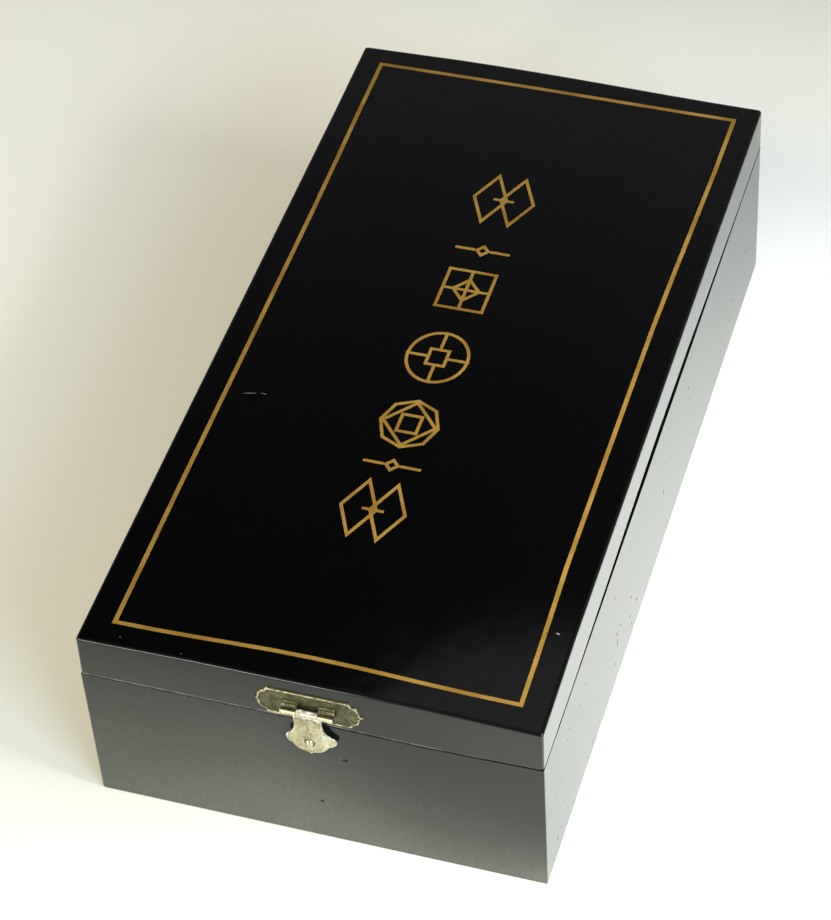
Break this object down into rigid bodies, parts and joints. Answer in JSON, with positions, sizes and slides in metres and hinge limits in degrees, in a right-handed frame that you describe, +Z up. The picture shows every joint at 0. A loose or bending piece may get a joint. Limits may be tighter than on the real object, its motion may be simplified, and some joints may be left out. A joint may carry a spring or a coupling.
{
  "type": "ink stick presentation case",
  "caption": "Black lacquered wooden presentation case with hinged lid, gold border line and brass front catch, holding an ink stick in a padded satin bed.",
  "frame": {"origin": "centre of the underside of the case", "axes": "+X to the right of someone facing the catch, +Y to the back where the hinges are, +Z up"},
  "size_m": [0.13, 0.2622, 0.066],
  "materials": {
    "black_lacquer": "high gloss lacquer on wood",
    "gold_line": "gold paint",
    "lining_satin": "satin",
    "bed_satin": "satin",
    "bare_wood": "matte",
    "pressed_ink": "dry pressed soot and glue, half matte",
    "plate_brass": "aged, half matte",
    "flap_brass": "pale, worn bright"
  },
  "bodies": {
    "base": {"base_front_wall": "black_lacquer", "base_back_wall": "black_lacquer", "base_left_wall": "black_lacquer", "base_right_wall": "black_lacquer", "base_bottom_board": "black_lacquer", "liner_front": "lining_satin", "liner_back": "lining_satin", "liner_left": "lining_satin", "liner_right": "lining_satin", "bed_board": "bare_wood", "satin_bed": "bed_satin", "ink_stick": "pressed_ink", "catch_stud": "flap_brass", "hinge_left_base_leaf": "plate_brass", "hinge_right_base_leaf": "plate_brass", "hinge_left_pin": "plate_brass", "hinge_right_pin": "plate_brass", "hinge_nails_base": "plate_brass"},
    "lid": {"lid_front_rail": "black_lacquer", "lid_back_rail": "black_lacquer", "lid_left_rail": "black_lacquer", "lid_right_rail": "black_lacquer", "lid_top_panel": "black_lacquer", "gold_border_line": "gold_line", "lid_pad_board": "bare_wood", "lid_pad": "bed_satin", "catch_plate": "plate_brass", "catch_pin": "plate_brass", "hinge_left_lid_leaf": "plate_brass", "hinge_right_lid_leaf": "plate_brass", "hinge_nails_lid": "plate_brass"},
    "catch_flap": {"catch_flap": "flap_brass"}
  },
  "joints": [
    {"name": "lid_hinge", "type": "hinge", "parent": "base", "child": "lid", "pos_m": [0, 0.1294, 0.0503], "axis": [-1, 0, 0], "range_deg": [0, 187.5]},
    {"name": "flap_hinge", "type": "hinge", "parent": "lid", "child": "catch_flap", "pos_m": [0.0007, -0.12955, 0.05525], "axis": [-1, 0, 0], "range_deg": [0, 170]}
  ]
}
